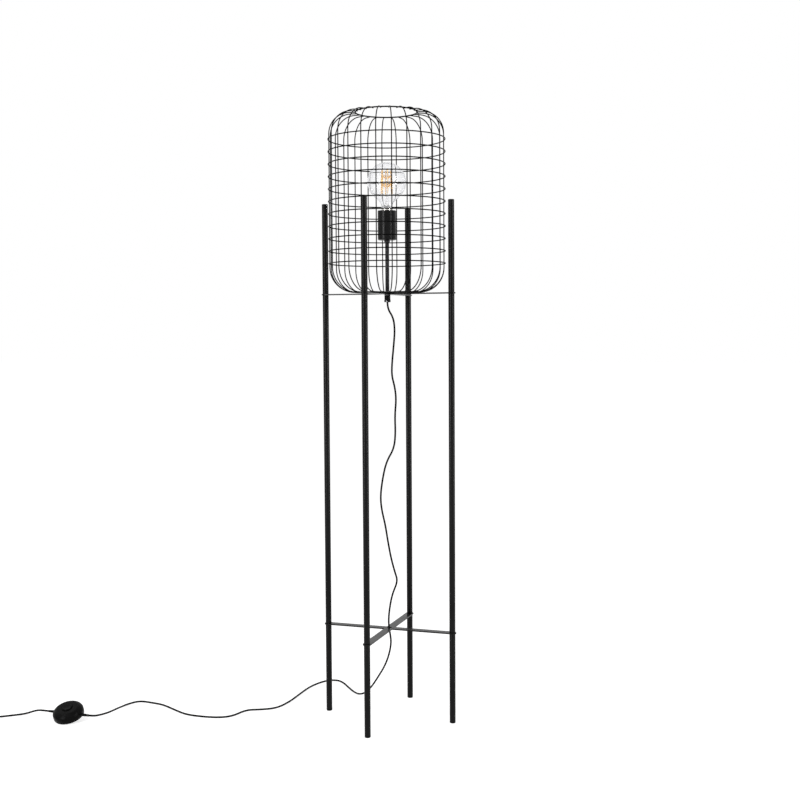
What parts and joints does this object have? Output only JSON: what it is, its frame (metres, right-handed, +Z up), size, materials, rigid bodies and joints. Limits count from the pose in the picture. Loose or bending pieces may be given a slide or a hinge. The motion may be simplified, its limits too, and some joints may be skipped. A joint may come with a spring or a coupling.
{
  "type": "floor lamp",
  "caption": "Floor lamp: a round wire cage open at the top, held between slender legs joined by two flat crosses, with a hanging cord, a foot switch and a plug",
  "frame": {"origin": "on the floor, under the middle of the stand", "axes": "+X to the right leg, +Y to the back leg, +Z up"},
  "size_m": [1.1648, 0.7382, 1.5005],
  "materials": {
    "stand": "black powder coat, satin",
    "cage": "black powder coat, satin",
    "plastic": "black, satin",
    "zinc": "zinc plated",
    "holder": "black, satin",
    "insulation": "plain",
    "contacts": "plain",
    "copper_wires": "insulated single wires",
    "clear_glass": "clear",
    "bulb_cap": "nickel plated",
    "filaments": "amber, coated",
    "cord": "black round flex"
  },
  "bodies": {
    "lamp": {"right_lower_tube": "stand", "right_middle_tube": "stand", "right_upper_tube": "stand", "back_lower_tube": "stand", "back_middle_tube": "stand", "back_upper_tube": "stand", "left_lower_tube": "stand", "left_middle_tube": "stand", "left_upper_tube": "stand", "front_lower_tube": "stand", "front_middle_tube": "stand", "front_upper_tube": "stand", "lower_cross_side_bar": "stand", "lower_cross_deep_bar": "stand", "upper_cross_side_bar": "stand", "upper_cross_deep_bar": "stand", "cage_ribs": "cage", "cage_hoops": "cage", "cage_top_ring": "cage", "cage_hub": "cage", "foot_glides": "plastic", "leg_caps": "plastic", "cord_grip": "plastic", "switch_base": "plastic", "switch_cover": "plastic", "plug_body": "plastic", "cord_tie": "plastic", "lower_joint_screws": "zinc", "lower_joint_nuts": "zinc", "upper_joint_screws": "zinc", "upper_joint_nuts": "zinc", "threaded_rod": "zinc", "rod_nuts": "zinc", "grip_screw": "zinc", "cup_collar": "zinc", "holder_cup": "holder", "holder_insulator": "insulation", "switch_module": "insulation", "screw_shell": "contacts", "contact_tongue": "contacts", "terminals": "contacts", "switch_terminals": "contacts", "plug_pins": "contacts", "supply_wires": "copper_wires", "cord_lamp_to_switch": "cord", "cord_switch_to_coil": "cord", "cord_coil": "cord", "cord_coil_to_plug": "cord", "switch_reliefs": "cord", "plug_relief": "cord"},
    "bulb": {"bulb_glass": "clear_glass", "bulb_stem": "clear_glass", "bulb_support_wires": "bulb_cap", "bulb_filaments": "filaments", "bulb_screw_cap": "bulb_cap", "bulb_tip_insulator": "insulation"},
    "bulb_tip": {"bulb_tip_contact": "contacts"},
    "button": {"switch_button": "plastic"}
  },
  "joints": [
    {"name": "bulb_lift", "type": "slide", "parent": "lamp", "child": "bulb_tip", "axis": [0, 0, 1], "range_m": [0, 0.01814]},
    {"name": "bulb_turn", "type": "hinge", "parent": "bulb_tip", "child": "bulb", "pos_m": [0, 0, 1.25], "axis": [0, 0, 1], "range_deg": [0, 1800]},
    {"name": "switch_press", "type": "slide", "parent": "lamp", "child": "button", "axis": [0, 0.342, -0.9397], "range_m": [0, 0.003], "stiffness_N_per_m": 400}
  ],
  "couplings": [
    {"joint": "bulb_lift", "follows": "bulb_turn", "m_per_rad": 0.00057751}
  ]
}
